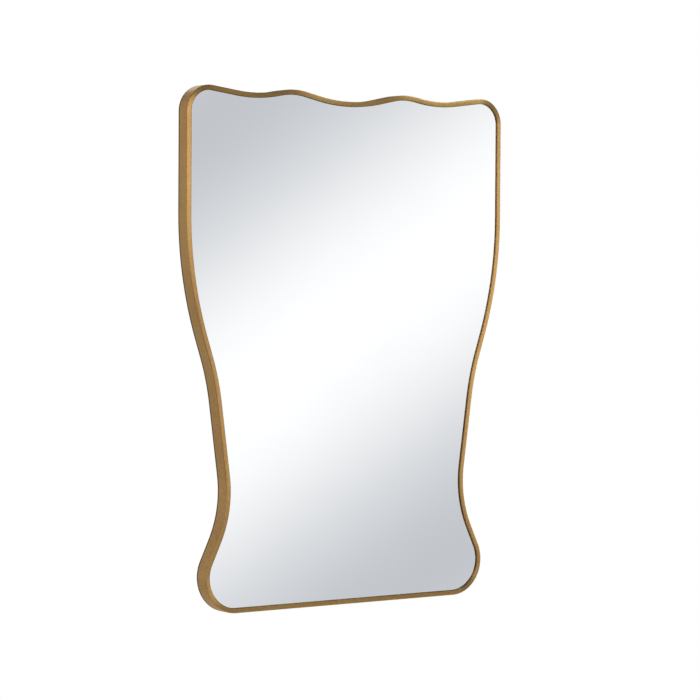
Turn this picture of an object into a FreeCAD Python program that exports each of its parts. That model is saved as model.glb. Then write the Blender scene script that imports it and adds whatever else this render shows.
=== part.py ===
"""Wall mirror with a waisted, wavy-topped outline in a deep metal frame.

Millimetres. +X is to the right seen from the front, +Z is up, and +Y points at the wall. The wall is
the plane y = 0, and the origin lies on it, midway between the two wall hooks that the mirror hangs on.
"""
import FreeCAD
import Part

import math
import os

Vector = FreeCAD.Vector

# Overall size, and the height of the wall hooks above the bottom edge
width = 762.0
height = 1016.0
hang_height = 815.0

# Outline: straight sides that meet at corner points, each rounded by an arc. Seen from the middle of the
# top: a dip, a hump, a smaller dip, the top corner, the shoulder where the side starts to draw in, the
# flank where it steepens, the waist, and the foot where the side meets the straight bottom.
middle_dip_drop = 27.0
middle_dip_radius = 340.0
hump_x = 134.0
hump_rise = 2.0
hump_radius = 145.0
side_dip_x = 219.0
side_dip_drop = 14.0
side_dip_radius = 290.0
corner_rise = 7.15
corner_radius = 51.0
shoulder_height = 647.0
shoulder_radius = 770.0
flank_inset = 65.0
flank_height = 451.0
flank_radius = 500.0
waist_inset = 99.0
waist_height = 201.0
waist_radius = 220.0
foot_inset = 4.0
foot_radius = 71.0

# Frame: an angle of thin sheet, with a front lip, a deep side wall and a hemmed rear edge
frame_depth = 32.0
face_width = 10.0
sheet = 1.5
hem_depth = 5.0
front_edge_break = 0.4
rear_edge_break = 0.8

# Layers behind the lip, from the front
edge_clearance = 0.7
glazing_tape_thickness = 1.5
glazing_tape_setback = 1.0
glass_thickness = 4.0
film_thickness = 0.3
mounting_tape_thickness = 1.0
mounting_tape_width = 25.0
mounting_tape_spacing = 110.0
mounting_tape_count = 5
mounting_tape_margin = 70.0
board_thickness = 9.0

# Retaining brackets: bent angles between the frame's side wall and the back of the board
bracket_width = 16.0
bracket_reach = 20.0
bracket_thickness = 1.5
bracket_bend_radius = 1.2
bracket_seat_gap = 0.1
bracket_hole_reach = 13.0
bottom_bracket_x = 170.0

# Weld studs and their nuts
stud_radius = 1.5
stud_length = 6.0
stud_clearance = 0.2
nut_across_flats = 5.5
nut_thickness = 2.4
nut_clearance = 0.05

# Pan-head wood screws, for the brackets and the hangers
screw_head_radius = 3.2
screw_head_height = 2.0
screw_head_edge = 0.9
screw_head_flat_radius = 1.4
screw_shank_radius = 1.6
screw_length = 8.5
screw_tip_length = 2.5
screw_tip_radius = 0.25
screw_hole_clearance = 0.2
pilot_clearance = 0.05
pilot_extra_depth = 0.3

# Hangers: a strap with a rolled eye, and a wire ring with one straight side that turns in the eye
hanger_inset = 111.0
strap_width = 14.0
strap_thickness = 1.5
strap_hole_drops = (29.0, 43.0)
strap_end_margin = 7.0
wire_radius = 1.5
eye_clearance = 0.08
ring_inside_width = 18.0
ring_length = 21.0
ring_bend_radius = 3.0
ring_lean = 2.0

# Flat sides that stand for the round of the rings' wire, and of each small screw, stud and hole
wire_sides = 8
small_round_sides = 10

# Derived places
bottom = -hang_height
top = bottom + height
hanger_x = width / 2 - hanger_inset
front = -frame_depth
lip_back = front + sheet
glass_front = lip_back + glazing_tape_thickness
glass_back = glass_front + glass_thickness
film_back = glass_back + film_thickness
board_front = film_back + mounting_tape_thickness
board_back = board_front + board_thickness
hem_width = 2 * sheet
layer_inset = hem_width + edge_clearance
cut_margin = 1.0
eye_bore_radius = wire_radius + eye_clearance
eye_radius = eye_bore_radius + strap_thickness
eye_y = board_back + eye_radius
eye_z = wire_radius - ring_length
stud_height = bracket_thickness + stud_clearance + nut_across_flats / 2


def outline_corners():
    """Corner points (x, z, radius) of the outline, clockwise seen from the front, from the top middle."""
    half = width / 2
    right = [
        (hump_x, top + hump_rise, hump_radius),
        (side_dip_x, top - side_dip_drop, side_dip_radius),
        (half, top + corner_rise, corner_radius),
        (half, bottom + shoulder_height, shoulder_radius),
        (half - flank_inset, bottom + flank_height, flank_radius),
        (half - waist_inset, bottom + waist_height, waist_radius),
        (half - foot_inset, bottom, foot_radius),
    ]
    left = [(-x, z, radius) for x, z, radius in reversed(right)]
    return [(0.0, top - middle_dip_drop, middle_dip_radius)] + right + left


def inward(direction):
    """Unit normal that points into the outline, for a clockwise direction along it."""
    return Vector(direction.z, 0, -direction.x).normalize()


def side_directions(points):
    """Unit direction of the side that leaves each corner point."""
    following = points[1:] + points[:1]
    return [(after - here).normalize() for here, after in zip(points, following)]


def tangent_lengths(points, ways, radii):
    """Length of side that each corner's arc takes up, cut down where its sides are too short for it."""
    arrivals = ways[-1:] + ways[:-1]
    wanted = [
        radius * math.tan(arrive.getAngle(leave) / 2)
        for radius, arrive, leave in zip(radii, arrivals, ways)
    ]
    room = []
    for index, point in enumerate(points):
        after = (index + 1) % len(points)
        room.append((points[after] - point).Length / (wanted[index] + wanted[after]))
    return [
        length * min(1.0, room[index - 1], room[index])
        for index, length in enumerate(wanted)
    ]


def outline_arcs():
    """For each corner, the start, middle and end of its arc, each with the inward normal there."""
    corners = outline_corners()
    points = [Vector(x, 0, z) for x, z, radius in corners]
    ways = side_directions(points)
    lengths = tangent_lengths(points, ways, [radius for x, z, radius in corners])
    arcs = []
    for index, point in enumerate(points):
        arrive = ways[index - 1]
        leave = ways[index]
        half_turn = arrive.getAngle(leave) / 2
        middle_depth = lengths[index] * (1 - math.cos(half_turn)) / math.sin(half_turn)
        towards_centre = (leave - arrive).normalize()
        arcs.append([
            (point - arrive * lengths[index], inward(arrive)),
            (point + towards_centre * middle_depth, inward(arrive + leave)),
            (point + leave * lengths[index], inward(leave)),
        ])
    return arcs


def outline_wire(inset, y):
    """The outline moved inwards by inset, as a closed wire at y."""
    shift = Vector(0, y, 0)
    arcs = [[point + normal * inset + shift for point, normal in arc] for arc in outline_arcs()]
    edges = []
    for arc, after in zip(arcs, arcs[1:] + arcs[:1]):
        edges.append(Part.Arc(*arc).toShape())
        if (after[0] - arc[2]).Length > 0.01:
            edges.append(Part.makeLine(arc[2], after[0]))
    return Part.Wire(edges)


def slab(inset, y_front, y_back):
    """Solid plate of the outline, moved inwards by inset, between two distances from the wall."""
    face = Part.Face(outline_wire(inset, y_front))
    return face.extrude(Vector(0, y_back - y_front, 0))


def edges_at(solid, y):
    """The edges of a solid that lie wholly at y."""
    return [
        edge for edge in solid.Edges
        if all(abs(vertex.Y - y) < 0.001 for vertex in edge.Vertexes)
    ]


def bracket_stations():
    """Name, point on the outline and inward normal of each bracket, all on straight runs of the outline."""
    arcs = outline_arcs()
    runs = {"top": 0, "upper": 3, "lower": 5}
    right = []
    for name, corner in runs.items():
        run_start, normal = arcs[corner][2]
        run_end = arcs[corner + 1][0][0]
        right.append((name, (run_start + run_end) * 0.5, normal))
    right.append(("bottom", Vector(bottom_bracket_x, 0, bottom), Vector(0, 0, 1)))
    stations = []
    for name, point, normal in right:
        stations.append((name + "_right", point, normal))
        mirrored = (Vector(-point.x, 0, point.z), Vector(-normal.x, 0, normal.z))
        stations.append((name + "_left", mirrored[0], mirrored[1]))
    return stations


def at_station(shape, point, normal):
    """Turn and move a shape from station axes (X inwards, Z to the wall) to its place on the frame."""
    seat = point + normal * sheet + Vector(0, board_back, 0)
    to_wall = Vector(0, 1, 0)
    along = to_wall.cross(normal)
    turn = FreeCAD.Matrix(
        normal.x, along.x, to_wall.x, seat.x,
        normal.y, along.y, to_wall.y, seat.y,
        normal.z, along.z, to_wall.z, seat.z,
        0, 0, 0, 1)
    placed = shape.copy()
    placed.transformShape(turn)
    return placed


def ring_of_points(radius, height, sides):
    """Corner points of a regular polygon about Z at a height, with one of its sides facing +X."""
    turns = [2 * math.pi * (side + 0.5) / sides for side in range(sides)]
    return [Vector(radius * math.cos(turn), radius * math.sin(turn), height) for turn in turns]


def polygon_face(points):
    """Flat face inside a closed run of points."""
    return Part.Face(Part.makePolygon(points + points[:1]))


def turned(profile):
    """Small solid of revolution about Z through (radius, height) points, with its corners on the radius."""
    rings = [ring_of_points(radius, height, small_round_sides) for radius, height in profile]
    faces = [polygon_face(rings[0]), polygon_face(rings[-1])]
    for ring, after in zip(rings, rings[1:]):
        for side in range(small_round_sides):
            beside = (side + 1) % small_round_sides
            faces.append(polygon_face([ring[side], ring[beside], after[beside], after[side]]))
    return Part.Solid(Part.Shell(faces))


def hole(radius, bottom_height, top_height):
    """Void about Z for a small round hole, with its flat sides on the radius."""
    corner_radius = radius / math.cos(math.pi / small_round_sides)
    return turned([(corner_radius, bottom_height), (corner_radius, top_height)])


def towards_x(shape, height):
    """Turn a shape's +Z to +X and lift it to a height."""
    placed = shape.copy()
    placed.rotate(Vector(0, 0, 0), Vector(0, 1, 0), 90)
    placed.translate(Vector(0, 0, height))
    return placed


def stud():
    """Stud that is welded to the inside of the side wall, in station axes."""
    return towards_x(turned([(stud_radius, -sheet / 2), (stud_radius, stud_length)]), stud_height)


def nut():
    """Hexagon nut on a stud, against the bracket, in station axes."""
    seat = bracket_seat_gap + bracket_thickness
    hexagon = polygon_face(ring_of_points(nut_across_flats / math.sqrt(3), seat, 6))
    body = hexagon.extrude(Vector(0, 0, nut_thickness))
    bore = hole(stud_radius + nut_clearance, seat - cut_margin, seat + nut_thickness + cut_margin)
    return towards_x(body.cut(bore), stud_height)


def bracket():
    """Bent angle from the side wall to the back of the board, in station axes."""
    wall_leg_height = -board_back - hem_depth - stud_clearance
    foot = Part.makeBox(bracket_reach, bracket_width, bracket_thickness)
    wall_leg = Part.makeBox(bracket_thickness, bracket_width, wall_leg_height)
    angle = foot.fuse(wall_leg).removeSplitter()
    angle.translate(Vector(bracket_seat_gap, -bracket_width / 2, 0))
    bend = [
        edge for edge in angle.Edges
        if all(vertex.X < bracket_seat_gap + 0.01 and vertex.Z < 0.01 for vertex in edge.Vertexes)
    ]
    angle = angle.makeFillet(bracket_bend_radius, bend)
    wall_hole = hole(stud_radius + stud_clearance, 0, bracket_seat_gap + bracket_thickness + cut_margin)
    foot_hole = hole(screw_shank_radius + screw_hole_clearance, -cut_margin, bracket_thickness + cut_margin)
    foot_hole.translate(Vector(bracket_hole_reach, 0, 0))
    return angle.cut([towards_x(wall_hole, stud_height), foot_hole])


def screw(sheet_below_head):
    """Pan-head wood screw along -Z, with the board's surface at z = 0 and its head on a sheet there."""
    seat = sheet_below_head
    tip = seat - screw_length
    return turned([
        (screw_tip_radius, tip),
        (screw_shank_radius, tip + screw_tip_length),
        (screw_shank_radius, seat),
        (screw_head_radius, seat),
        (screw_head_radius, seat + screw_head_edge),
        (screw_head_flat_radius, seat + screw_head_height),
    ])


def pilot_hole(sheet_below_head):
    """Blind hole in the board for a screw, along -Z from the board's surface at z = 0."""
    depth = screw_length - sheet_below_head + pilot_extra_depth
    return hole(screw_shank_radius + pilot_clearance, -depth, cut_margin)


def on_hanger(shape, x, drop):
    """Turn a shape's +Z to the wall and set it on the board, below a hanger's eye by drop."""
    placed = shape.copy()
    placed.rotate(Vector(0, 0, 0), Vector(1, 0, 0), -90)
    placed.translate(Vector(x, board_back, eye_z - drop))
    return placed


def frame():
    """Deep angle frame with its front lip, side wall, hemmed rear edge and welded studs."""
    body = slab(0, front, 0)
    body = body.makeChamfer(front_edge_break, edges_at(body, front))
    body = body.makeChamfer(rear_edge_break, edges_at(body, 0))
    window = slab(face_width, front - cut_margin, lip_back + cut_margin)
    cavity = slab(sheet, lip_back, -hem_depth)
    rear_mouth = slab(hem_width, -hem_depth - cut_margin, cut_margin)
    for void in (window, cavity, rear_mouth):
        body = body.cut(void)
    studs = [at_station(stud(), point, normal) for name, point, normal in bracket_stations()]
    return body.fuse(studs)


def glazing_tape():
    """Foam tape between the lip and the glass, set back from the lip's edge."""
    outer = slab(layer_inset, lip_back, glass_front)
    inner = slab(face_width - glazing_tape_setback, lip_back - cut_margin, glass_front + cut_margin)
    return outer.cut(inner)


def mounting_tape(index):
    """One upright strip of tape between the glass and the board."""
    middle = (index - (mounting_tape_count - 1) / 2) * mounting_tape_spacing
    length = height - 2 * mounting_tape_margin
    corner = Vector(middle - mounting_tape_width / 2, film_back, bottom + mounting_tape_margin)
    return Part.makeBox(mounting_tape_width, mounting_tape_thickness, length, corner)


def backing_board():
    """Board that fills the frame behind the glass, with a pilot hole for every screw."""
    board = slab(layer_inset, board_front, board_back)
    bracket_pilot = pilot_hole(bracket_thickness)
    bracket_pilot.translate(Vector(bracket_hole_reach, 0, 0))
    holes = [at_station(bracket_pilot, point, normal) for name, point, normal in bracket_stations()]
    for x in (-hanger_x, hanger_x):
        for drop in strap_hole_drops:
            holes.append(on_hanger(pilot_hole(strap_thickness), x, drop))
    return board.cut(holes)


def hanger_strap(x):
    """Flat strap on the board, rolled at its top into an eye, with two screw holes."""
    length = max(strap_hole_drops) + strap_end_margin
    half = strap_width / 2
    plate = Part.makeBox(
        strap_width, strap_thickness, length, Vector(x - half, board_back, eye_z - length))
    lower_edges = [
        edge for edge in plate.Edges
        if all(vertex.Z < eye_z - length + 0.01 for vertex in edge.Vertexes) and edge.BoundBox.YLength > 0.01
    ]
    corner_edges = [edge for edge in lower_edges if edge.BoundBox.XLength < 0.01]
    plate = plate.makeFillet(half - 0.5, corner_edges)
    eye_start = Vector(x - half, eye_y, eye_z)
    eye = Part.makeCylinder(eye_radius, strap_width, eye_start, Vector(1, 0, 0))
    bore = Part.makeCylinder(eye_bore_radius, strap_width, eye_start, Vector(1, 0, 0))
    strap = plate.fuse(eye).cut(bore).removeSplitter()
    screw_hole = hole(screw_shank_radius + screw_hole_clearance, -cut_margin, strap_thickness + cut_margin)
    return strap.cut([on_hanger(screw_hole, x, drop) for drop in strap_hole_drops])


def d_ring(x):
    """Wire ring that hangs from a strap's eye, its straight side in the eye."""
    half = ring_inside_width / 2 + wire_radius
    bar = half - ring_bend_radius
    arch_z = half - ring_length
    turn_axis = Vector(0, 1, 0)
    section = polygon_face(ring_of_points(wire_radius, 0, wire_sides))
    leg_section = section.translated(Vector(half, 0, arch_z))
    bar_section = section.rotated(Vector(0, 0, 0), turn_axis, 90)
    bend_section = bar_section.translated(Vector(bar, 0, 0))
    right = [
        bar_section.extrude(Vector(bar, 0, 0)),
        bend_section.revolve(Vector(bar, 0, -ring_bend_radius), turn_axis, 90),
        leg_section.extrude(Vector(0, 0, -ring_bend_radius - arch_z)),
        leg_section.revolve(Vector(0, 0, arch_z), turn_axis, 90),
    ]
    left = [piece.mirror(Vector(0, 0, 0), Vector(1, 0, 0)) for piece in right]
    ring = right[0].fuse(right[1:] + left).removeSplitter()
    ring.rotate(Vector(0, 0, 0), Vector(1, 0, 0), ring_lean)
    ring.translate(Vector(x, eye_y, eye_z))
    return ring


def build_parts():
    """Every node of the mirror by name."""
    stations = bracket_stations()
    bracket_screw = screw(bracket_thickness)
    bracket_screw.translate(Vector(bracket_hole_reach, 0, 0))
    hanger_screw = screw(strap_thickness)
    parts = {
        "frame": frame(),
        "glazing_tape": glazing_tape(),
        "mirror_glass": slab(layer_inset, glass_front, glass_back),
        "safety_film": slab(layer_inset, glass_back, film_back),
        "backing_board": backing_board(),
    }
    for index in range(mounting_tape_count):
        parts["mounting_tape_" + str(index + 1)] = mounting_tape(index)
    for name, point, normal in stations:
        parts["bracket_" + name] = at_station(bracket(), point, normal)
    parts["bracket_nuts"] = Part.makeCompound(
        [at_station(nut(), point, normal) for name, point, normal in stations])
    parts["bracket_screws"] = Part.makeCompound(
        [at_station(bracket_screw, point, normal) for name, point, normal in stations])
    for side, x in (("left", -hanger_x), ("right", hanger_x)):
        parts["hanger_strap_" + side] = hanger_strap(x)
        parts["d_ring_" + side] = d_ring(x)
    parts["hanger_screws"] = Part.makeCompound(
        [on_hanger(hanger_screw, x, drop) for x in (-hanger_x, hanger_x) for drop in strap_hole_drops])
    return parts


def main():
    os.makedirs("parts", exist_ok=True)
    for name, shape in build_parts().items():
        shape.exportStep("parts/" + name + ".step")
        print(name, len(shape.Solids), "solids, volume", round(shape.Volume, 1), "valid", shape.isValid())


main()
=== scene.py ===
"""Looks of a wall mirror with a waisted, wavy-topped outline in a deep brushed brass frame.

Metres. +X is to the right seen from the front, +Z is up, and +Y points at the wall, the plane y = 0.
"""

import logging
import math
from collections.abc import Callable
from dataclasses import dataclass
from enum import Enum
from functools import cache

import bmesh
import bpy
from mathutils import Matrix, Vector

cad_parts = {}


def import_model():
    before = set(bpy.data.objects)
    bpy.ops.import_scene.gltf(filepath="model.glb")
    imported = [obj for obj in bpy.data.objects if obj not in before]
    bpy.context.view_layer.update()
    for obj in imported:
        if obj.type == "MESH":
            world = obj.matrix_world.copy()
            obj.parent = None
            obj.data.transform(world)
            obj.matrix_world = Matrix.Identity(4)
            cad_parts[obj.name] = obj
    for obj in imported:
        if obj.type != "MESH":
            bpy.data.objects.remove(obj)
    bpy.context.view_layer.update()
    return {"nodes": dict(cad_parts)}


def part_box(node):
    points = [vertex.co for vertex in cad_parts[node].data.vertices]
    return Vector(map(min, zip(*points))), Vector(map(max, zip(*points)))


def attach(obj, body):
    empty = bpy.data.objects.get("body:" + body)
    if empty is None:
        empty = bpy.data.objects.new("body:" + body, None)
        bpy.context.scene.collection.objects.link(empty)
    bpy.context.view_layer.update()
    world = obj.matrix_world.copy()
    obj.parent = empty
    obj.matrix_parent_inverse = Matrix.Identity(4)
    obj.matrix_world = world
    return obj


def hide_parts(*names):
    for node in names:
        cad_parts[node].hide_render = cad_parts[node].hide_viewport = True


LOG = logging.getLogger("wall_mirror")
MIRROR_BODY = "mirror"
RIGHT = Vector((1.0, 0.0, 0.0))
TO_WALL = Vector((0.0, 1.0, 0.0))
UP = Vector((0.0, 0.0, 1.0))
RUN_MAP = "run"
# Two places nearer than this are the same.
TIGHT = 1e-5
# A face whose normal has this much of a direction faces it.
FACING = 0.9

Colour = tuple[float, float, float]
Point = tuple[float, float, float]
Piece = bpy.types.Object
Socket = bpy.types.NodeSocket


# The outline


@dataclass(frozen=True)
class Corner:
    """A corner point of the outline and the radius that rounds it."""

    x: float
    z: float
    radius: float


@dataclass(frozen=True)
class Run:
    """One straight or rounded stretch of the outline; a straight one has no turn."""

    start: Vector
    heading: Vector
    length: float
    radius: float = 0.0
    turn: float = 0.0

    def inward(self) -> Vector:
        """Unit normal at the run's start that points into the outline."""
        return TO_WALL.cross(self.heading)

    def centre(self) -> Vector:
        """Centre of a rounded run."""
        return self.start + self.inward() * math.copysign(self.radius, self.turn)

    def middle(self) -> Vector:
        """Middle point of a straight run."""
        return self.start + self.heading * (self.length / 2)


@dataclass(frozen=True)
class Outline:
    """The mirror's outline: straight sides that meet at corner points, each rounded by an arc."""

    half_width: float = 0.381
    bottom: float = -0.815
    top: float = 0.201
    middle_dip_drop: float = 0.027
    middle_dip_radius: float = 0.340
    hump_x: float = 0.134
    hump_rise: float = 0.002
    hump_radius: float = 0.145
    side_dip_x: float = 0.219
    side_dip_drop: float = 0.014
    side_dip_radius: float = 0.290
    corner_rise: float = 0.00715
    corner_radius: float = 0.051
    shoulder_height: float = 0.647
    shoulder_radius: float = 0.770
    flank_inset: float = 0.065
    flank_height: float = 0.451
    flank_radius: float = 0.500
    waist_inset: float = 0.099
    waist_height: float = 0.201
    waist_radius: float = 0.220
    foot_inset: float = 0.004
    foot_radius: float = 0.071
    past_end_weight: float = 10.0

    def corners(self) -> list[Corner]:
        """Corner points, clockwise seen from the front, from the left foot to the right one.

        Returns:
            The fifteen corners.
        """
        left = [
            Corner(self.foot_inset - self.half_width, self.bottom, self.foot_radius),
            Corner(self.waist_inset - self.half_width, self.bottom + self.waist_height, self.waist_radius),
            Corner(self.flank_inset - self.half_width, self.bottom + self.flank_height, self.flank_radius),
            Corner(-self.half_width, self.bottom + self.shoulder_height, self.shoulder_radius),
            Corner(-self.half_width, self.top + self.corner_rise, self.corner_radius),
            Corner(-self.side_dip_x, self.top - self.side_dip_drop, self.side_dip_radius),
            Corner(-self.hump_x, self.top + self.hump_rise, self.hump_radius),
        ]
        middle = Corner(0.0, self.top - self.middle_dip_drop, self.middle_dip_radius)
        right = [Corner(-corner.x, corner.z, corner.radius) for corner in reversed(left)]
        return left + [middle] + right

    def runs(self) -> list[Run]:
        """Straight and rounded runs in order, clockwise seen from the front, from the bottom's middle.

        Returns:
            The runs, each of which starts where the one before ends.
        """
        start = Vector((0.0, 0.0, self.bottom))
        corners = self.corners()
        points = [Vector((corner.x, 0.0, corner.z)) for corner in corners]
        runs = []
        here = start
        for index, point in enumerate(points):
            following = points[index + 1] if index + 1 < len(points) else start
            arrive = (point - here).normalized()
            leave = (following - point).normalized()
            turn = math.atan2(leave.dot(TO_WALL.cross(arrive)), leave.dot(arrive))
            tangent = corners[index].radius * math.tan(abs(turn) / 2)
            arc_start = point - arrive * tangent
            runs.append(Run(here, arrive, (arc_start - here).length))
            radius = corners[index].radius
            runs.append(Run(arc_start, arrive, radius * abs(turn), radius, turn))
            here = point + leave * tangent
        last = (start - here).normalized()
        runs.append(Run(here, last, (start - here).length))
        return runs

    def place(self, point: Vector, runs: list[Run]) -> tuple[float, float]:
        """Find a point's place along the outline and its depth inside it.

        Args:
            point: Any point near the outline; its Y is ignored.
            runs: The outline's runs.

        Returns:
            The distance along the outline from its start, and the distance inwards from it.
        """
        best = (math.inf, 0.0, 0.0)
        travelled = 0.0
        flat = Vector((point.x, 0.0, point.z))
        for run in runs:
            if run.turn:
                spoke = flat - run.centre()
                side = math.copysign(1.0, run.turn)
                first = run.start - run.centre()
                swept = math.atan2(spoke.cross(first).y, spoke.dot(first)) * -side
                share = min(max(swept / abs(run.turn), 0.0), 1.0)
                beyond = abs(swept / abs(run.turn) - share) * run.length
                depth = side * (run.radius - spoke.length)
            else:
                offset = flat - run.start
                ahead = offset.dot(run.heading)
                share = min(max(ahead / max(run.length, TIGHT), 0.0), 1.0)
                beyond = abs(ahead - share * run.length)
                depth = offset.dot(run.inward())
            miss = beyond * self.past_end_weight + abs(depth)
            if miss < best[0]:
                best = (miss, travelled + share * run.length, depth)
            travelled += run.length
        return best[1], best[2]


OUTLINE = Outline()


# Work in edit mode


def start_piece(name: str, add: str, **settings: object) -> Piece:
    """Add a primitive by its operator and enter edit mode with all of it selected.

    Args:
        name: Name of the new piece.
        add: Name of the operator in bpy.ops.mesh, without its first word.
        settings: The operator's settings.

    Returns:
        The new object.
    """
    bpy.ops.object.select_all(action="DESELECT")
    getattr(bpy.ops.mesh, "primitive_" + add)(**settings)
    piece = bpy.context.object
    piece.name = name
    bpy.ops.object.transform_apply(location=True, rotation=True, scale=True)
    bpy.ops.object.mode_set(mode="EDIT")
    bpy.ops.mesh.select_mode(type="VERT")
    bpy.ops.mesh.select_all(action="SELECT")
    return piece


class Kind(Enum):
    """Kinds of mesh element, by the operators' own names for them."""

    VERT = "VERT"
    EDGE = "EDGE"
    FACE = "FACE"


def select_where(kind: Kind, test: Callable[[Vector, object], bool]) -> None:
    """Select the edited vertices, edges or faces that pass a test, and nothing else.

    Args:
        kind: Which kind of element is selected.
        test: Function of an element's middle point and the element.
    """
    bpy.ops.mesh.select_mode(type=kind.value)
    bpy.ops.mesh.select_all(action="DESELECT")
    mesh = bmesh.from_edit_mesh(bpy.context.object.data)
    items, middle_of = {
        Kind.VERT: (mesh.verts, lambda vertex: vertex.co),
        Kind.EDGE: (mesh.edges, lambda edge: (edge.verts[0].co + edge.verts[1].co) / 2),
        Kind.FACE: (mesh.faces, lambda face: face.calc_center_median()),
    }[kind]
    for item in items:
        if test(middle_of(item), item):
            item.select_set(True)
    mesh.select_flush_mode()
    bmesh.update_edit_mesh(bpy.context.object.data)


def is_level(edge: bmesh.types.BMEdge) -> bool:
    """Tell whether both ends of an edge are at one height."""
    return abs(edge.verts[0].co.z - edge.verts[1].co.z) < TIGHT


def push(step: Vector) -> None:
    """Extrude what is selected by a step."""
    bpy.ops.mesh.extrude_region_move(TRANSFORM_OT_translate={"value": tuple(step)})


def turn_about(centre: Vector, axis: Vector, angle: float, step: float) -> None:
    """Spin what is selected about an axis, by the right-hand rule, in steps no larger than one given."""
    steps = max(1, math.ceil(abs(angle) / step))
    bpy.ops.mesh.spin(steps=steps, angle=-angle, center=tuple(centre), axis=tuple(axis))


def outer_loop_only() -> None:
    """Turn a flat edited shape into its outer loop of edges, and select that."""
    select_where(Kind.EDGE, lambda middle, edge: len(edge.link_faces) > 1)
    bpy.ops.mesh.dissolve_edges(use_verts=False)
    bpy.ops.mesh.select_mode(type="FACE")
    bpy.ops.mesh.select_all(action="SELECT")
    bpy.ops.mesh.delete(type="ONLY_FACE")
    bpy.ops.mesh.select_mode(type="EDGE")
    bpy.ops.mesh.select_all(action="SELECT")


def end_piece(piece: Piece, smooth_angle: float = 35.0, close: bool = True) -> Piece:
    """Merge doubles, point the faces outwards, leave edit mode and shade the piece.

    Args:
        piece: The piece in edit mode.
        smooth_angle: Edges sharper than this many degrees stay sharp.
        close: Whether to merge doubles and recalculate normals.

    Returns:
        The piece.
    """
    if close:
        bpy.ops.mesh.select_all(action="SELECT")
        bpy.ops.mesh.remove_doubles(threshold=TIGHT)
        bpy.ops.mesh.normals_make_consistent(inside=False)
    bpy.ops.object.mode_set(mode="OBJECT")
    bpy.ops.object.shade_smooth_by_angle(angle=math.radians(smooth_angle))
    return piece


def modify(piece: Piece, kind: str, **settings: object) -> None:
    """Add a modifier to a piece and apply it.

    Args:
        piece: The piece, in object mode.
        kind: The modifier's type.
        settings: Values for its properties.
    """
    modifier = piece.modifiers.new(kind.lower(), kind)
    for name, value in settings.items():
        setattr(modifier, name, value)
    bpy.ops.object.select_all(action="DESELECT")
    piece.select_set(True)
    bpy.context.view_layer.objects.active = piece
    bpy.ops.object.modifier_apply(modifier=modifier.name)


def cut_away(piece: Piece, tool: Piece) -> None:
    """Cut a tool's shape out of a piece, and remove the tool."""
    modify(piece, "BOOLEAN", operation="DIFFERENCE", solver="EXACT", object=tool)
    bpy.data.objects.remove(tool)


def copies_as_one(name: str, model: Piece, places: list[Matrix]) -> Piece:
    """Set a copy of a model at each place and join the copies into one piece. The model is removed.

    Args:
        name: Name of the joined piece.
        model: Piece modelled at the origin.
        places: Where each copy goes.

    Returns:
        The joined piece, its place in its mesh.
    """
    bpy.ops.object.select_all(action="DESELECT")
    copies = []
    for place in places:
        copy = model.copy()
        copy.data = model.data.copy()
        copy.data.transform(place)
        bpy.context.scene.collection.objects.link(copy)
        copy.select_set(True)
        copies.append(copy)
    bpy.data.objects.remove(model)
    bpy.context.view_layer.objects.active = copies[0]
    bpy.ops.object.join()
    joined = bpy.context.object
    joined.name = name
    return joined


# Finishes


class NodeTree:
    """A node tree, with short calls to add and join nodes."""

    def __init__(self, tree: bpy.types.NodeTree) -> None:
        """Work on one tree."""
        self.tree = tree

    def add(self, kind: str, settings: dict | None = None, **inputs: object) -> bpy.types.Node:
        """Add a node.

        Args:
            kind: The node's type, such as ShaderNodeTexNoise.
            settings: Values for its properties.
            inputs: A value or a socket for each of its inputs, by name with _ for a space.

        Returns:
            The new node.
        """
        node = self.tree.nodes.new(kind)
        for name, value in (settings or {}).items():
            setattr(node, name, value)
        self.fill(node, **inputs)
        return node

    def fill(self, node: bpy.types.Node, **inputs: object) -> None:
        """Give a node's inputs their values and sockets, by name with _ for a space."""
        for name, value in inputs.items():
            self.plug(value, node.inputs[name.replace("_", " ")])

    def plug(self, value: object, target: Socket) -> None:
        """Link a socket to an input, or set a value on it.

        Args:
            value: A number, a vector, a colour or a socket.
            target: The input.
        """
        if isinstance(value, Socket):
            self.tree.links.new(value, target)
        elif target.type == "RGBA":
            target.default_value = (*value, 1.0)
        else:
            target.default_value = value

    def math(self, operation: str, *terms: object) -> Socket:
        """Work out a value.

        Args:
            operation: The Math node's operation.
            terms: A number or a socket for each of its inputs.

        Returns:
            The result.
        """
        node = self.add("ShaderNodeMath", {"operation": operation})
        for term, target in zip(terms, node.inputs):
            self.plug(term, target)
        return node.outputs["Value"]

    def smooth(self, value: Socket, start: float, end: float, low: float, high: float) -> Socket:
        """Change smoothly from one value to another as an input passes through a range.

        Args:
            value: The input.
            start: Where the change starts.
            end: Where it ends.
            low: Result before the start.
            high: Result after the end.

        Returns:
            The result.
        """
        node = self.add("ShaderNodeMapRange", {"interpolation_type": "SMOOTHSTEP"}, Value=value,
                        From_Min=start, From_Max=end, To_Min=low, To_Max=high)
        return node.outputs["Result"]

    def blend(self, share: Socket, *colours: object) -> Socket:
        """Blend two colours.

        Args:
            share: Share of the second colour.
            colours: Two linear colours or sockets.

        Returns:
            The blended colour.
        """
        node = self.add("ShaderNodeMix", {"data_type": "RGBA"}, Factor=share)
        for colour, target in zip(colours, [socket for socket in node.inputs if socket.type == "RGBA"]):
            self.plug(colour, target)
        return next(socket for socket in node.outputs if socket.type == "RGBA")

    def between(self, share: float, first: Socket, second: Socket) -> Socket:
        """Blend two values by the share of the second."""
        return self.add("ShaderNodeMix", Factor=share, A=first, B=second).outputs["Result"]


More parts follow.
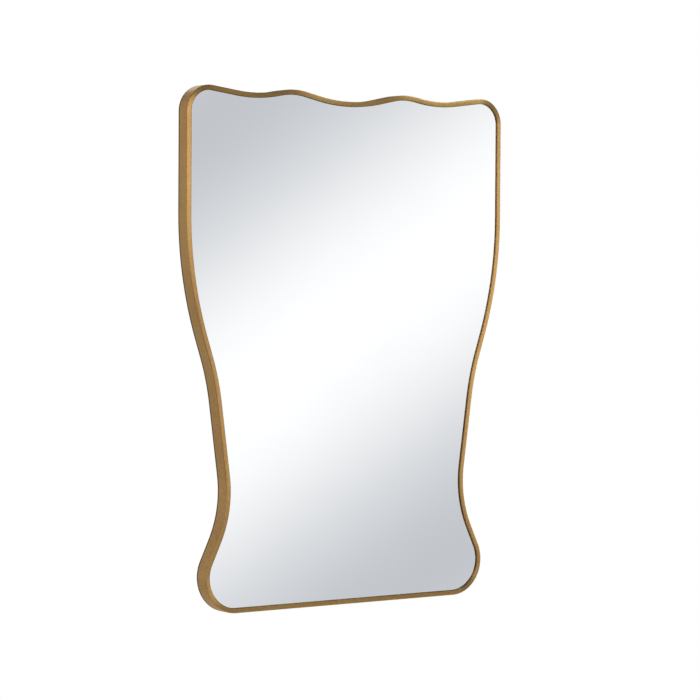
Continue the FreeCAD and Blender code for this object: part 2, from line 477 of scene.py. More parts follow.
class Nodes(NodeTree):
    """A material's node tree."""

    def __init__(self, name: str) -> None:
        """Start a material with one Principled shader.

        Args:
            name: The material's name.
        """
        self.material = bpy.data.materials.new(name)
        self.material.use_nodes = True
        super().__init__(self.material.node_tree)
        self.shader = self.tree.nodes["Principled BSDF"]

    def stretched(self, direction: Vector, stretch: float) -> Socket:
        """Object coordinates in which patterns come out stretched along a direction.

        Args:
            direction: The direction.
            stretch: How many times longer they are along it.

        Returns:
            The mapped vector.
        """
        turn = direction.to_track_quat("Z", "Y").to_euler()
        mapping = self.add("ShaderNodeMapping", {"vector_type": "TEXTURE"}, Vector=self.coords(),
                           Rotation=turn, Scale=(1.0, 1.0, stretch))
        return mapping.outputs["Vector"]

    def coords(self) -> Socket:
        """Object coordinates."""
        return self.add("ShaderNodeTexCoord").outputs["Object"]

    def run_map(self) -> Socket:
        """Place along the outline, and across the section, from the frame's UV map."""
        return self.add("ShaderNodeUVMap", {"uv_map": RUN_MAP}).outputs["UV"]

    def noise(self, vector: Socket, scale: float, detail: float, roughness: float = 0.55) -> Socket:
        """A noise value over a vector.

        Args:
            vector: Where the noise is read.
            scale: The noise's scale.
            detail: Its octaves.
            roughness: How strong the finer octaves are.

        Returns:
            The noise's value.
        """
        noise = self.add("ShaderNodeTexNoise", Vector=vector, Scale=scale, Detail=detail,
                         Roughness=roughness)
        return noise.outputs["Fac"]

    def ramp(self, value: Socket, places: tuple[float, ...], *colours: Colour) -> Socket:
        """Turn a value into a colour.

        Args:
            value: The value, from 0 to 1.
            places: Value at each stop.
            colours: Linear colour at each stop.

        Returns:
            The colour.
        """
        node = self.add("ShaderNodeValToRGB", Fac=value)
        elements = node.color_ramp.elements
        while len(elements) < len(colours):
            elements.new(0.5)
        for element, place, colour in zip(elements, places, colours):
            element.position = place
            element.color = (*colour, 1.0)
        return node.outputs["Color"]

    def roughen(self, value: Socket, smoothest: float, roughest: float) -> None:
        """Give the shader a roughness that follows a value.

        Args:
            value: The value, from 0 to 1.
            smoothest: Roughness at 0.
            roughest: Roughness at 1.
        """
        node = self.add("ShaderNodeMapRange", Value=value, To_Min=smoothest, To_Max=roughest)
        self.set(Roughness=node.outputs["Result"])

    def bump(self, height: Socket, strength: float, distance: float) -> None:
        """Bump the shader's normal by a height.

        Args:
            height: The height's value.
            strength: The bump's strength.
            distance: Its depth in metres.
        """
        bump = self.add("ShaderNodeBump", Height=height, Strength=strength, Distance=distance)
        self.set(Normal=bump.outputs["Normal"])

    def set(self, **inputs: object) -> None:
        """Give the shader's own inputs their values and sockets."""
        self.fill(self.shader, **inputs)


@dataclass(frozen=True)
class BrushedBrass:
    """Antique brass: fine grain along the run, slanting brush streaks, and painted shade darkening its rear
    edge and the lip's inner edge.
    """

    dark: Colour = (0.42, 0.232, 0.076)
    middle: Colour = (0.48, 0.279, 0.096)
    pale: Colour = (0.54, 0.330, 0.122)
    tone_stops: tuple[float, float, float] = (0.36, 0.50, 0.64)
    # Near-black brown painted as shade on the rear edge and on the lip's inner edge.
    painted_shade_colour: Colour = (0.085, 0.055, 0.026)
    smoothest: float = 0.37
    roughest: float = 0.49
    grain_scale: float = 900.0
    grain_detail: float = 2.0
    streak_scale: float = 330.0
    streak_detail: float = 3.0
    streak_stretch: float = 30.0
    streak_direction: Point = (1.0, 1.0, 1.0)
    streak_share: float = 0.6
    cloud_scale: float = 9.0
    cloud_detail: float = 4.0
    # Where the painted shade of the rear edge and of the lip's inner edge starts and fades, across the
    # section, in metres.
    rear_edge: float = 0.0032
    rear_fade: float = 0.0058
    lip_edge: float = 0.0415
    lip_fade: float = 0.0009
    lip_shade_share: float = 0.8
    brushing: float = 0.86
    brushing_turn: float = 0.25
    lacquer: float = 0.12
    lacquer_roughness: float = 0.25

    def material(self) -> bpy.types.Material:
        """Make the material.

        Returns:
            The brushed brass.
        """
        nodes = Nodes("brushed_brass")
        slant = nodes.stretched(Vector(self.streak_direction), self.streak_stretch)
        streaks = nodes.noise(slant, self.streak_scale, self.streak_detail)
        cloud = nodes.noise(nodes.coords(), self.cloud_scale, self.cloud_detail)
        tone = nodes.math("ADD", nodes.math("MULTIPLY", streaks, self.streak_share),
                          nodes.math("MULTIPLY", cloud, 1.0 - self.streak_share))
        metal = nodes.ramp(tone, self.tone_stops, self.dark, self.middle, self.pale)
        place = nodes.add("ShaderNodeSeparateXYZ", Vector=nodes.run_map()).outputs["Y"]
        # Painted shade: the rear edge, and the lip's inner edge in the recess, are blended towards the
        # near-black brown.
        rear = nodes.smooth(place, self.rear_edge, self.rear_fade, 1.0, 0.0)
        lip = nodes.smooth(place, self.lip_edge - self.lip_fade, self.lip_edge, 0.0, self.lip_shade_share)
        nodes.set(Base_Color=nodes.blend(nodes.math("MAXIMUM", rear, lip), metal, self.painted_shade_colour))
        grain = nodes.noise(nodes.run_map(), self.grain_scale, self.grain_detail)
        nodes.roughen(grain, self.smoothest, self.roughest)
        nodes.set(Metallic=1.0, Anisotropic=self.brushing, Anisotropic_Rotation=self.brushing_turn)
        nodes.set(Coat_Weight=self.lacquer, Coat_Roughness=self.lacquer_roughness)
        tangent = nodes.add("ShaderNodeTangent", {"direction_type": "UV_MAP", "uv_map": RUN_MAP})
        nodes.set(Tangent=tangent.outputs["Tangent"])
        return nodes.material


@dataclass(frozen=True)
class Clouded:
    """Smooth material with soft clouds of tone: a near-black brown painted as shade on the frame's inner
    edge, silver, the floor.
    """

    name: str
    dark: Colour
    pale: Colour
    scale: float
    detail: float
    smoothest: float
    roughest: float
    metallic: float = 0.0
    specular: float = 0.5
    tone_stops: tuple[float, float] = (0.3, 0.7)

    def material(self) -> bpy.types.Material:
        """Make the material.

        Returns:
            The clouded material.
        """
        nodes = Nodes(self.name)
        cloud = nodes.noise(nodes.coords(), self.scale, self.detail)
        nodes.set(Base_Color=nodes.ramp(cloud, self.tone_stops, self.dark, self.pale))
        nodes.roughen(cloud, self.smoothest, self.roughest)
        nodes.set(Metallic=self.metallic, Specular_IOR_Level=self.specular)
        return nodes.material


@dataclass(frozen=True)
class Grainy:
    """Plain material with an uneven tone and a fine bumpy surface, such as foam, film, board or tape."""

    name: str
    dark: Colour
    pale: Colour
    scale: float
    roughness: float
    bump_depth: float
    roughness_spread: float = 0.08
    detail: float = 4.0
    fine_contrast: float = 0.65
    patch_size: float = 12.0
    tone_stops: tuple[float, float] = (0.35, 0.65)
    bump_strength: float = 0.4

    def material(self) -> bpy.types.Material:
        """Make the material.

        Returns:
            The grainy material.
        """
        nodes = Nodes(self.name)
        coarse = nodes.noise(nodes.coords(), self.scale / self.patch_size, self.detail)
        fine = nodes.noise(nodes.coords(), self.scale, self.detail, self.fine_contrast)
        mixed = nodes.between(0.5, coarse, fine)
        nodes.set(Base_Color=nodes.ramp(mixed, self.tone_stops, self.dark, self.pale))
        nodes.roughen(fine, self.roughness - self.roughness_spread, self.roughness + self.roughness_spread)
        nodes.bump(fine, self.bump_strength, self.bump_depth)
        return nodes.material


@dataclass(frozen=True)
class ZincPlate:
    """Bright zinc-plated steel with a faint spangle and small dull patches."""

    dark: Colour = (0.42, 0.43, 0.45)
    pale: Colour = (0.66, 0.67, 0.69)
    tone_stops: tuple[float, float] = (0.25, 0.7)
    spangle_scale: float = 420.0
    patch_scale: float = 150.0
    patch_detail: float = 4.0
    patch_share: float = 0.6
    smoothest: float = 0.22
    roughest: float = 0.46

    def material(self) -> bpy.types.Material:
        """Make the material.

        Returns:
            The zinc plate.
        """
        nodes = Nodes("zinc_plate")
        spangle = nodes.add("ShaderNodeTexVoronoi", Vector=nodes.coords(), Scale=self.spangle_scale)
        patches = nodes.noise(nodes.coords(), self.patch_scale, self.patch_detail)
        mixed = nodes.between(self.patch_share, spangle.outputs["Distance"], patches)
        nodes.set(Base_Color=nodes.ramp(mixed, self.tone_stops, self.dark, self.pale), Metallic=1.0)
        nodes.roughen(patches, self.smoothest, self.roughest)
        return nodes.material


class Finish(Enum):
    """Every finish of the mirror and the floor."""

    BRASS = BrushedBrass()
    # Near-black brown painted as the shade of the recess on the lip's inner edge.
    DARK_EDGE = Clouded("painted_shade_edge", (0.018, 0.012, 0.006), (0.045, 0.028, 0.012), 60.0, 5.0, 0.7, 0.9,
                        specular=0.08)
    MIRROR = Clouded("silvered_glass", (0.955, 0.962, 0.968), (0.975, 0.982, 0.988), 3.0, 2.0, 0.0, 0.0,
                     metallic=1.0)
    ZINC = ZincPlate()
    FOAM = Grainy("black_foam", (0.008, 0.008, 0.008), (0.022, 0.022, 0.022), 2500.0, 0.85, 0.0002)
    FILM = Grainy("grey_film", (0.30, 0.31, 0.32), (0.36, 0.37, 0.38), 300.0, 0.45, 0.00002)
    TAPE = Grainy("white_foam_tape", (0.62, 0.62, 0.58), (0.72, 0.72, 0.68), 2000.0, 0.8, 0.0001)
    BOARD = Grainy("black_faced_board", (0.020, 0.018, 0.016), (0.045, 0.041, 0.037), 900.0, 0.62, 0.00006)
    FLOOR = Clouded("pale_floor", (0.78, 0.78, 0.78), (0.80, 0.80, 0.80), 6.0, 3.0, 0.9, 0.9)

    @cache
    def material(self) -> bpy.types.Material:
        """The finish's material, made at its first use."""
        return self.value.material()


def apply_finishes(piece: Piece, *finishes: Finish) -> None:
    """Give a piece its finishes, in the order of its material slots.

    Args:
        piece: The piece or node.
        finishes: Its finishes.
    """
    piece.data.materials.clear()
    for finish in finishes:
        piece.data.materials.append(finish.material())


def deliver(piece: Piece, body: str, slot: str, *replaced: str) -> None:
    """Hand a finished piece to its body, and hide the nodes it stands for.

    Args:
        piece: The finished piece.
        body: Body that it moves with.
        slot: Not used.
        replaced: Nodes that it replaces.
    """
    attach(piece, body)
    if replaced:
        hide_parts(*replaced)
    LOG.info("%s: %d faces", piece.name, len(piece.data.polygons))


# The frame


@dataclass
class FrameShell:
    """The deep brass frame: front lip, side wall and hemmed rear edge, in one sweep round the outline."""

    depth: float = 0.032
    sheet: float = 0.0015
    face_width: float = 0.010
    hem_depth: float = 0.005
    front_edge_radius: float = 0.0026
    lip_edge_radius: float = 0.0004
    bend_radius: float = 0.0006
    rear_edge_radius: float = 0.0012
    wide_steps: int = 6
    narrow_steps: int = 3
    arc_step: float = math.radians(1.5)
    straight_step: float = 0.02

    def section(self) -> Piece:
        """Draw the frame's section at the middle of its bottom side, as a closed loop in edit mode.

        Returns:
            The piece, in edit mode.
        """
        base = OUTLINE.bottom
        piece = start_piece("brass_frame", "plane_add", size=1.0, rotation=(0.0, math.pi / 2, 0.0))
        bpy.ops.transform.resize(value=(1.0, self.depth, self.sheet), center_override=(0.0, 0.0, 0.0))
        bpy.ops.transform.translate(value=(0.0, -self.depth / 2, base + self.sheet / 2))
        for cut in (self.sheet - self.depth, -self.hem_depth):
            bpy.ops.mesh.select_all(action="SELECT")
            bpy.ops.mesh.bisect(plane_co=(0.0, cut, 0.0), plane_no=TO_WALL)
        inside = base + self.sheet - TIGHT
        lip_back = self.sheet - self.depth
        select_where(Kind.EDGE, lambda middle, edge: middle.z > inside and middle.y < lip_back)
        push(UP * (self.face_width - self.sheet))
        select_where(Kind.EDGE, lambda middle, edge: middle.z > inside and middle.y > -self.hem_depth
                     and is_level(edge))
        push(UP * self.sheet)
        select_where(Kind.EDGE, lambda middle, edge: len(edge.link_faces) > 1)
        bpy.ops.mesh.dissolve_edges(use_verts=False)
        self.round_corners(base)
        outer_loop_only()
        return piece

    def round_corners(self, base: float) -> None:
        """Round the corners of the section.

        Args:
            base: Height of the frame's underside.
        """
        lip_z = base + self.face_width
        corners = [
            (-self.depth, base, self.front_edge_radius, self.wide_steps),
            (-self.depth, lip_z, self.lip_edge_radius, self.narrow_steps),
            (self.sheet - self.depth, base + self.sheet, self.bend_radius, self.narrow_steps),
            (0.0, base, self.rear_edge_radius, self.wide_steps),
            (0.0, base + 2 * self.sheet, self.rear_edge_radius, self.wide_steps),
        ]
        for y, z, radius, steps in corners:
            here = Vector((0.0, y, z))
            select_where(Kind.VERT, lambda middle, vertex: (middle - here).yz.length < TIGHT)
            bpy.ops.mesh.bevel(affect="VERTICES", offset=radius, segments=steps)

    def sweep(self) -> None:
        """Carry the selected section round the outline."""
        for run in OUTLINE.runs():
            if run.turn:
                turn_about(run.centre(), TO_WALL, run.turn, self.arc_step)
                continue
            pieces = max(1, math.ceil(run.length / self.straight_step))
            for _ in range(pieces):
                push(run.heading * (run.length / pieces))

    def build(self) -> Piece:
        """Model the frame.

        Returns:
            The finished mesh, with its run written as a UV map.
        """
        piece = self.section()
        self.sweep()
        end_piece(piece)
        self.mark_run(piece)
        return piece

    def mark_run(self, piece: Piece) -> None:
        """Write the run along the outline as a UV map, and pick out the faces that get the near-black
        painted shade.

        Args:
            piece: The frame's mesh.
        """
        runs = OUTLINE.runs()
        total = sum(run.length for run in runs)
        places = [OUTLINE.place(vertex.co, runs) for vertex in piece.data.vertices]
        layer = piece.data.uv_layers.new(name=RUN_MAP)
        for face in piece.data.polygons:
            alongs = [places[index][0] for index in face.vertices]
            wraps = max(alongs) - min(alongs) > total / 2
            for loop_index, vertex_index, along in zip(face.loop_indices, face.vertices, alongs):
                depth = places[vertex_index][1]
                height = piece.data.vertices[vertex_index].co.y
                shifted = along + total if wraps and along < total / 2 else along
                layer.data[loop_index].uv = (shifted, depth - height)
            depth = sum(places[index][1] for index in face.vertices) / len(face.vertices)
            # The lip's inner edge is painted near-black as the shade of the recess; the hidden inside faces
            # get the same.
            inner_lip = depth > self.face_width - self.lip_edge_radius / 2 and face.normal.y > -FACING
            hidden = depth > self.sheet - TIGHT and face.center.y > self.sheet - self.depth - TIGHT
            face.material_index = 1 if inner_lip or hidden else 0

    def dress(self, piece: Piece) -> None:
        """Give the frame its brass and its painted-shade inner edges, and deliver it."""
        apply_finishes(piece, Finish.BRASS, Finish.DARK_EDGE)
        deliver(piece, MIRROR_BODY, "antique_brass", "frame")


# Brackets' fasteners


@dataclass
class PanHeadScrew:
    """Pan-head wood screw with a cross recess, along -Z with its head's seat at z = 0."""

    head_radius: float = 0.0032
    head_height: float = 0.0020
    shank_radius: float = 0.0016
    length: float = 0.0085
    recess_width: float = 0.0009
    recess_reach: float = 0.0019
    recess_depth: float = 0.0013
    recess_taper: tuple[float, float] = (0.45, 0.7)
    dome_share: float = 0.62
    dome_steps: int = 6
    point_share: float = 0.3
    point_width: float = 0.2
    sides: int = 32

    def build(self) -> Piece:
        """Model the screw.

        Returns:
            The screw at the origin.
        """
        head = start_piece("screw", "cylinder_add", vertices=self.sides, radius=self.head_radius,
                           depth=self.head_height, location=(0.0, 0.0, self.head_height / 2))
        select_where(Kind.EDGE, lambda middle, edge: middle.z > self.head_height - TIGHT)
        bpy.ops.mesh.bevel(affect="EDGES", offset=self.head_height * self.dome_share,
                           segments=self.dome_steps)
        select_where(Kind.FACE, lambda middle, face: middle.z < TIGHT)
        bpy.ops.mesh.inset(thickness=self.head_radius - self.shank_radius)
        push(UP * (self.length * (self.point_share - 1.0)))
        push(UP * (-self.length * self.point_share))
        bpy.ops.transform.resize(value=(self.point_width, self.point_width, 1.0))
        end_piece(head)
        for angle in (0.0, math.pi / 2):
            self.cut_recess(head, angle)
        return head

    def cut_recess(self, head: Piece, angle: float) -> None:
        """Cut one slot of the cross recess.

        Args:
            head: The screw.
            angle: The slot's direction about Z.
        """
        slot = start_piece("recess", "cube_add", size=1.0)
        bpy.ops.transform.resize(value=(2 * self.recess_reach, self.recess_width, 2 * self.recess_depth))
        select_where(Kind.FACE, lambda middle, face: middle.z < -self.recess_depth + TIGHT)
        bpy.ops.transform.resize(value=(*self.recess_taper, 1.0))
        end_piece(slot)
        turn = Matrix.Rotation(angle, 4, "Z")
        slot.data.transform(Matrix.Translation(UP * self.head_height) @ turn)
        cut_away(head, slot)


@dataclass
class StudAndNut:
    """Threaded weld stud and its hexagon nut, along +Z from the bracket's face at z = 0."""

    stud_radius: float = 0.0015
    stud_reach: float = 0.0044
    root_depth: float = 0.0018
    pitch: float = 0.0005
    core_share: float = 0.84
    tip_inset: float = 0.2
    across_flats: float = 0.0055
    nut_thickness: float = 0.0024
    nut_chamfer: float = 0.00035
    nut_chamfer_steps: int = 2
    bore_share: float = 1.03
    sides: int = 24
    smooth_angle: float = 50.0

    def stud(self) -> Piece:
        """Model the stud with its thread's ridges.

        Returns:
            The stud at the origin.
        """
        stud = start_piece("stud", "circle_add", vertices=self.sides, radius=self.stud_radius,
                           fill_type="NGON", location=(0.0, 0.0, -self.root_depth))
        for _ in range(round((self.root_depth + self.stud_reach) / self.pitch)):
            for share in (self.core_share, 1 / self.core_share):
                push(UP * (self.pitch / 2))
                bpy.ops.transform.resize(value=(share, share, 1.0))
        bpy.ops.mesh.inset(thickness=self.stud_radius * self.tip_inset)
        bpy.ops.transform.translate(value=(0.0, 0.0, self.pitch / 2))
        return end_piece(stud, self.smooth_angle)

    def nut(self) -> Piece:
        """Model the nut, with its corners chamfered and its bore open.

        Returns:
            The nut at the origin.
        """
        nut = start_piece("nut", "cylinder_add", vertices=6, radius=self.across_flats / math.sqrt(3),
                          depth=self.nut_thickness, location=(0.0, 0.0, self.nut_thickness / 2))
        select_where(Kind.EDGE, lambda middle, edge: is_level(edge))
        bpy.ops.mesh.bevel(affect="EDGES", offset=self.nut_chamfer, segments=self.nut_chamfer_steps)
        end_piece(nut)
        bore = start_piece("bore", "cylinder_add", vertices=self.sides, depth=self.nut_thickness * 2,
                           radius=self.stud_radius * self.bore_share,
                           location=(0.0, 0.0, self.nut_thickness / 2))
        end_piece(bore)
        cut_away(nut, bore)
        return nut


@dataclass
class BracketFasteners:
    """Studs, nuts and screws of the eight retaining brackets."""

    board_back: float
    sheet: float = 0.0015
    bracket_thickness: float = 0.0015
    seat_gap: float = 0.0001
    stud_height: float = 0.00445
    hole_reach: float = 0.013
    next_turn: float = 0.9
    bottom_x: float = 0.170
    side_straights: tuple[int, int, int] = (2, 4, 7)

    def seats(self) -> list[Matrix]:
        """Find the brackets' places: two on the bottom, and one on each side of three straight runs.

        Returns:
            Axes of each, X inwards and Z to the wall, on the board's back at the side wall.
        """
        stations = [(Vector((x, 0.0, OUTLINE.bottom)), UP) for x in (-self.bottom_x, self.bottom_x)]
        straights = [run for run in OUTLINE.runs() if not run.turn]
        for index in self.side_straights:
            point = straights[index].middle()
            normal = straights[index].inward()
            stations.append((point, normal))
            stations.append((Vector((-point.x, 0.0, point.z)), Vector((-normal.x, 0.0, normal.z))))
        seats = []
        for point, normal in stations:
            turn = Matrix((normal, TO_WALL.cross(normal), TO_WALL)).transposed().to_4x4()
            place = point + normal * self.sheet + TO_WALL * self.board_back
            seats.append(Matrix.Translation(place) @ turn)
        return seats

    def build(self) -> dict[Piece, tuple[str, ...]]:
        """Model the fasteners.

        Returns:
            Each finished piece and the nodes that it replaces.
        """
        seats = self.seats()
        outward = self.seat_gap + self.bracket_thickness
        lie_inwards = Matrix.Rotation(math.pi / 2, 4, "Y")
        stud_place = Matrix.Translation((outward, 0.0, self.stud_height)) @ lie_inwards
        screw_place = Matrix.Translation((self.hole_reach, 0.0, self.bracket_thickness))
        parts = StudAndNut()
        studs = copies_as_one("weld_studs", parts.stud(), [seat @ stud_place for seat in seats])
        nuts = copies_as_one("hex_nuts", parts.nut(), [seat @ stud_place for seat in seats])
        screws = copies_as_one("board_screws", PanHeadScrew().build(), [
            seat @ screw_place @ Matrix.Rotation(index * self.next_turn, 4, "Z")
            for index, seat in enumerate(seats)])
        return {studs: (), nuts: ("bracket_nuts",), screws: ("bracket_screws",)}

    def dress(self, pieces: dict[Piece, tuple[str, ...]]) -> None:
        """Give the fasteners their zinc plate, and deliver them.

        Args:
            pieces: Each piece and the nodes that it replaces.
        """
        for piece, replaced in pieces.items():
            apply_finishes(piece, Finish.ZINC)
            deliver(piece, MIRROR_BODY, "zinc_steel", *replaced)


# Hangers


class Side(Enum):
    """The mirror's sides, seen from the front."""

    LEFT = "left"
    RIGHT = "right"


@dataclass
class Hanger:
    """One hanger: a strap rolled into an eye, its two screws, and the wire ring that turns in the eye."""

    side: Side
    x: float
    board_back: float
    strap_width: float = 0.014
    thickness: float = 0.0015
    wire_radius: float = 0.0015
    eye_clearance: float = 0.00008
    ring_inside_width: float = 0.018
    ring_length: float = 0.021
    ring_bend_radius: float = 0.003
    ring_lean: float = math.radians(2.0)
    hole_drops: tuple[float, float] = (0.029, 0.043)
    end_margin: float = 0.007
    end_flat: float = 0.001
    end_steps: int = 10
    edge_rounding: float = 0.0003
    edge_steps: int = 2
    sharp_angle: float = math.radians(40.0)
    roll: float = math.radians(318.0)
    roll_step: float = math.radians(9.0)
    wire_sides: int = 24
    wire_step: float = math.radians(6.0)
    wire_smooth_angle: float = 60.0
    turn_per_drop: float = 60.0

    def eye(self) -> Vector:
        """The middle of the eye's axis."""
        outer = self.wire_radius + self.eye_clearance + self.thickness
        return Vector((self.x, self.board_back + outer, self.wire_radius - self.ring_length))

    def strap(self) -> Piece:
        """Model the strap: a plate with a rounded lower end, rolled at its top.

        Returns:
            The strap.
        """
        eye = self.eye()
        length = max(self.hole_drops) + self.end_margin
        strap = start_piece("strap_plate_" + self.side.value, "plane_add", size=1.0,
                            rotation=(math.pi / 2, 0.0, 0.0))
        bpy.ops.transform.resize(value=(self.strap_width, 1.0, length), center_override=(0.0, 0.0, 0.0))
        bpy.ops.transform.translate(value=(self.x, self.board_back, eye.z - length / 2))
        select_where(Kind.VERT, lambda middle, vertex: middle.z < eye.z - length / 2)
        bpy.ops.mesh.bevel(affect="VERTICES", offset=(self.strap_width - self.end_flat) / 2,
                           segments=self.end_steps)
        bpy.ops.mesh.select_all(action="SELECT")
        push(TO_WALL * self.thickness)
        select_where(Kind.FACE, lambda middle, face: middle.z > eye.z - TIGHT)
        turn_about(eye, -RIGHT, self.roll, self.roll_step)
        middle_y = self.board_back + self.thickness / 2
        select_where(Kind.FACE, lambda middle, face: abs(middle.z - eye.z) < TIGHT
                     and abs(middle.y - middle_y) < self.thickness / 4 and abs(face.normal.z) > FACING)
        bpy.ops.mesh.delete(type="ONLY_FACE")
        end_piece(strap)
        modify(strap, "BEVEL", width=self.edge_rounding, segments=self.edge_steps, limit_method="ANGLE",
               angle_limit=self.sharp_angle)
        return strap

    def ring(self) -> Piece:
        """Model the wire ring, with round bends and a straight side in the eye.

        Returns:
            The ring.
        """
        half = self.ring_inside_width / 2 + self.wire_radius
        bar = half - self.ring_bend_radius
        arch_z = half - self.ring_length
        leg = -self.ring_bend_radius - arch_z
        ring = start_piece("ring_wire_" + self.side.value, "circle_add", vertices=self.wire_sides,
                           radius=self.wire_radius, rotation=(0.0, math.pi / 2, 0.0))
        push(RIGHT * bar)
        turn_about(Vector((bar, 0.0, -self.ring_bend_radius)), TO_WALL, math.pi / 2, self.wire_step)
        push(UP * -leg)
        turn_about(UP * arch_z, TO_WALL, math.pi, self.wire_step)
        push(UP * leg)
        turn_about(Vector((-bar, 0.0, -self.ring_bend_radius)), TO_WALL, math.pi / 2, self.wire_step)
        push(RIGHT * bar)
        end_piece(ring, self.wire_smooth_angle)
        ring.data.transform(Matrix.Translation(self.eye()) @ Matrix.Rotation(self.ring_lean, 4, "X"))
        return ring

    def screw_places(self) -> list[Matrix]:
        """Places of the hanger's two screws.

        Returns:
            A placing matrix for each.
        """
        eye = self.eye()
        face = self.board_back + self.thickness
        return [
            Matrix.Translation((self.x, face, eye.z - drop)) @ Matrix.Rotation(-math.pi / 2, 4, "X")
            @ Matrix.Rotation(drop * self.turn_per_drop, 4, "Z")
            for drop in self.hole_drops]

    def build(self) -> tuple[Piece, Piece]:
        """Model the strap and the ring."""
        return self.strap(), self.ring()

    def dress(self, strap: Piece, ring: Piece) -> None:
        """Give the strap and the ring their zinc plate, and deliver them.

        Args:
            strap: The strap.
            ring: The ring.
        """
        apply_finishes(strap, Finish.ZINC)
        apply_finishes(ring, Finish.ZINC)
        deliver(strap, MIRROR_BODY, "zinc_steel", "hanger_strap_" + self.side.value)
        deliver(ring, "ring_" + self.side.value, "zinc_steel", "d_ring_" + self.side.value)


def hang_fittings(board_back: float) -> None:
    """Build both hangers and their screws.

    Args:
        board_back: The board's back face, in Y.
    """
    hanger_x = 0.270
    hangers = [Hanger(Side.LEFT, -hanger_x, board_back), Hanger(Side.RIGHT, hanger_x, board_back)]
    for hanger in hangers:
        hanger.dress(*hanger.build())
    places = [place for hanger in hangers for place in hanger.screw_places()]
    screws = copies_as_one("hanger_screw_set", PanHeadScrew().build(), places)
    apply_finishes(screws, Finish.ZINC)
    deliver(screws, MIRROR_BODY, "zinc_steel", "hanger_screws")


# The studio


@dataclass(frozen=True)
class Lamp:
    """A square soft lamp: where it stands, the point it faces, its side's length, watts and colour."""

    name: str
    place: Point
    power: float
    size: float
    aim: Point = (0.0, 0.0, -0.3)
    colour: Colour = (1.0, 1.0, 1.0)

    def light(self) -> None:
        """Add the lamp to the scene."""
        data = bpy.data.lights.new(self.name, "AREA")
        data.size = self.size
        data.energy = self.power
        data.color = self.colour
        lamp = bpy.data.objects.new(self.name, data)
        bpy.context.scene.collection.objects.link(lamp)
        lamp.location = self.place
        lamp.rotation_euler = (Vector(self.aim) - Vector(self.place)).to_track_quat("-Z", "Y").to_euler()


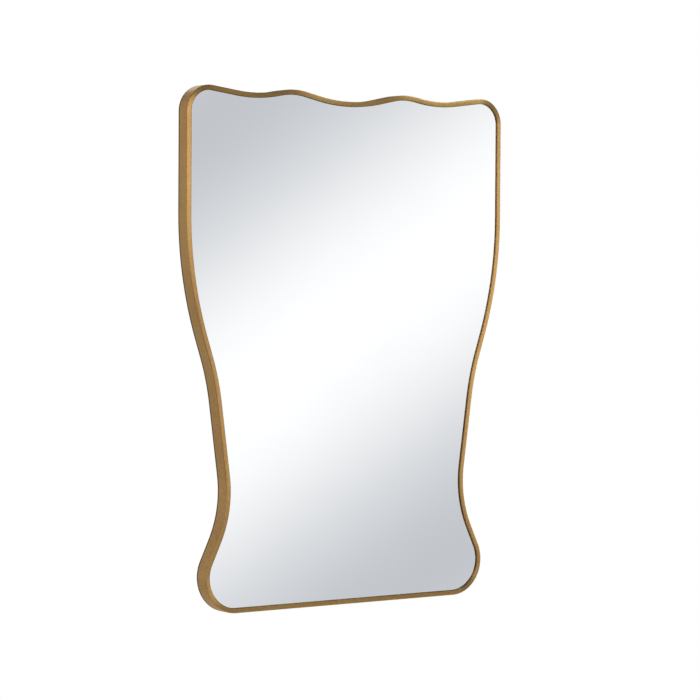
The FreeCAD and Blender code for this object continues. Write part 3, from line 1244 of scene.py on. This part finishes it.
@dataclass
class Studio:
    """Camera, floor, lamps and surround."""

    focal_pixels: float = 2631.66
    frame_pixels: float = 700.0
    sensor: float = 36.0
    distance: float = 5.26264
    yaw: float = 0.6207
    pitch: float = 0.0307
    roll: float = 0.0059
    target: Point = (0.02413, 0.0, -0.31071)
    farthest: float = 50.0
    floor_z: float = -1.80
    floor_radius: float = 2.6
    floor_sides: int = 96
    lamps: tuple[Lamp, ...] = (
        Lamp("key", (4.2, -1.7, -0.40), 32.0, 1.5),
        Lamp("fill", (-0.6, -2.4, 0.45), 17.0, 1.0),
        Lamp("high", (1.10, -0.76, 1.00), 6.4, 0.35, (0.37, 0.0, 0.2), (0.80, 0.94, 1.0)),
        Lamp("rear", (0.6, 2.6, 1.6), 15.0, 1.4),
    )
    ambient: Colour = (0.74, 0.74, 0.74)
    band_dark: Colour = (0.562, 0.583, 0.616)
    band_white: Colour = (1.05, 1.05, 1.05)
    band_slant: float = math.radians(54.0)
    band_middle: float = -0.0085
    band_period: float = 0.19
    belt_start: float = 0.15
    belt_end: float = 0.265
    ceiling_level: float = 0.03
    side_start: float = -0.35
    side_end: float = 0.15
    rear_left_level: float = 0.92
    rear_left_end: float = -0.45
    rear_right_level: float = 0.40
    rear_right_start: float = 0.20

    def camera_axes(self) -> tuple[Vector, Vector, Vector]:
        """The camera's right, up and forward directions.

        Returns:
            The three unit vectors.
        """
        forward = Vector((
            math.sin(self.yaw) * math.cos(self.pitch),
            math.cos(self.yaw) * math.cos(self.pitch),
            -math.sin(self.pitch)))
        level = Vector((math.cos(self.yaw), -math.sin(self.yaw), 0.0))
        over = level.cross(forward)
        right = level * math.cos(self.roll) + over * math.sin(self.roll)
        up = over * math.cos(self.roll) - level * math.sin(self.roll)
        return right, up, forward

    def camera(self) -> None:
        """Set the camera at the photograph's viewpoint."""
        right, up, forward = self.camera_axes()
        data = bpy.data.cameras.new("camera")
        data.sensor_width = self.sensor
        data.lens = self.focal_pixels / self.frame_pixels * self.sensor
        data.clip_end = self.farthest
        camera = bpy.data.objects.new("camera", data)
        bpy.context.scene.collection.objects.link(camera)
        place = Vector(self.target) - forward * self.distance
        turn = Matrix((right, up, -forward)).transposed().to_4x4()
        camera.matrix_world = Matrix.Translation(place) @ turn
        bpy.context.scene.camera = camera

    def floor(self) -> None:
        """Lay a pale round floor under the mirror."""
        floor = start_piece("floor", "circle_add", vertices=self.floor_sides, radius=self.floor_radius,
                            fill_type="NGON", location=(0.0, 0.0, self.floor_z))
        end_piece(floor, close=False)
        apply_finishes(floor, Finish.FLOOR)

    def surround(self) -> None:
        """Surround the mirror with a white backdrop, and with soft slanting bands for reflections.

        The glass sees the bands all round; the brushed metal sees them dimmed above, below and behind.
        """
        world = bpy.data.worlds.new("surround")
        world.use_nodes = True
        world.cycles.sampling_method = "NONE"
        bpy.context.scene.world = world
        nodes = NodeTree(world.node_tree)
        nodes.tree.nodes.clear()
        path = nodes.add("ShaderNodeLightPath")
        direction = nodes.add("ShaderNodeTexCoord").outputs["Generated"]
        bands = self.bands(nodes, direction)
        dimmed = nodes.blend(self.dimming(nodes, direction), (0.0, 0.0, 0.0), bands)
        reflected = nodes.blend(path.outputs["Is Singular Ray"], dimmed, bands)
        seen = nodes.blend(path.outputs["Is Camera Ray"], reflected, (1.0, 1.0, 1.0))
        sharp = nodes.math("MAXIMUM", path.outputs["Is Glossy Ray"], path.outputs["Is Transmission Ray"])
        direct = nodes.math("MAXIMUM", path.outputs["Is Camera Ray"], sharp)
        light = nodes.add("ShaderNodeBackground", Color=nodes.blend(direct, self.ambient, seen))
        nodes.add("ShaderNodeOutputWorld", Surface=light.outputs["Background"])

    def bands(self, nodes: NodeTree, direction: Socket) -> Socket:
        """Soft slanting bands over directions.

        Args:
            nodes: The world's nodes.
            direction: The direction that is looked along.

        Returns:
            The bands' colour.
        """
        right, up, _ = self.camera_axes()
        mirrored_right = Vector((right.x, -right.y, right.z))
        mirrored_up = Vector((up.x, -up.y, up.z))
        across = mirrored_right * math.cos(self.band_slant) - mirrored_up * math.sin(self.band_slant)
        along = nodes.add("ShaderNodeVectorMath", {"operation": "DOT_PRODUCT"}, Vector=direction)
        along.inputs[1].default_value = across
        shifted = nodes.math("SUBTRACT", along.outputs["Value"], self.band_middle)
        wave = nodes.math("COSINE", nodes.math("MULTIPLY", shifted, 2 * math.pi / self.band_period))
        share = nodes.math("MULTIPLY_ADD", wave, 0.5, 0.5)
        return nodes.blend(share, self.band_dark, self.band_white)

    def dimming(self, nodes: NodeTree, direction: Socket) -> Socket:
        """Level of the surround for brushed metal, full near the horizon in front of the mirror.

        Args:
            nodes: The world's nodes.
            direction: The direction that is looked along.

        Returns:
            The level, from 0 to 1.
        """
        parts = nodes.add("ShaderNodeSeparateXYZ", Vector=direction)
        height = nodes.math("ABSOLUTE", parts.outputs["Z"])
        belt = nodes.smooth(height, self.belt_start, self.belt_end, 1.0, self.ceiling_level)
        behind = nodes.smooth(parts.outputs["Y"], self.side_start, self.side_end, 0.0, 1.0)
        front = nodes.math("MULTIPLY", belt, nodes.math("SUBTRACT", 1.0, behind))
        rear = nodes.smooth(parts.outputs["X"], self.rear_left_end, self.rear_right_start,
                            self.rear_left_level, self.rear_right_level)
        return nodes.math("MULTIPLY_ADD", behind, rear, front)

    def build(self) -> None:
        """Build the whole studio."""
        self.camera()
        self.floor()
        for lamp in self.lamps:
            lamp.light()
        self.surround()
        bpy.context.scene.view_settings.view_transform = "Standard"


# The whole mirror


def dress_nodes(nodes: dict[str, Piece]) -> None:
    """Give the frame's own nodes their finishes.

    Args:
        nodes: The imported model's nodes.
    """
    finishes = {
        "glazing_tape": Finish.FOAM,
        "mirror_glass": Finish.MIRROR,
        "safety_film": Finish.FILM,
        "backing_board": Finish.BOARD,
        "mounting_tape": Finish.TAPE,
        "bracket_": Finish.ZINC,
        "hanger_": Finish.ZINC,
        "d_ring_": Finish.ZINC,
        "frame": Finish.BRASS,
    }
    for name, node in nodes.items():
        finish = next(finish for start, finish in finishes.items() if name.startswith(start))
        apply_finishes(node, finish)
        LOG.info("%s: dressed as %s", name, finish.name)


def main() -> None:
    """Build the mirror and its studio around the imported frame."""
    logging.basicConfig(level=logging.INFO, format="%(message)s")
    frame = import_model()
    board_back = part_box("backing_board")[1].y
    Studio().build()
    dress_nodes(frame["nodes"])
    shell = FrameShell()
    shell.dress(shell.build())
    fasteners = BracketFasteners(board_back)
    fasteners.dress(fasteners.build())
    hang_fittings(board_back)


if __name__ == "__main__":
    main()
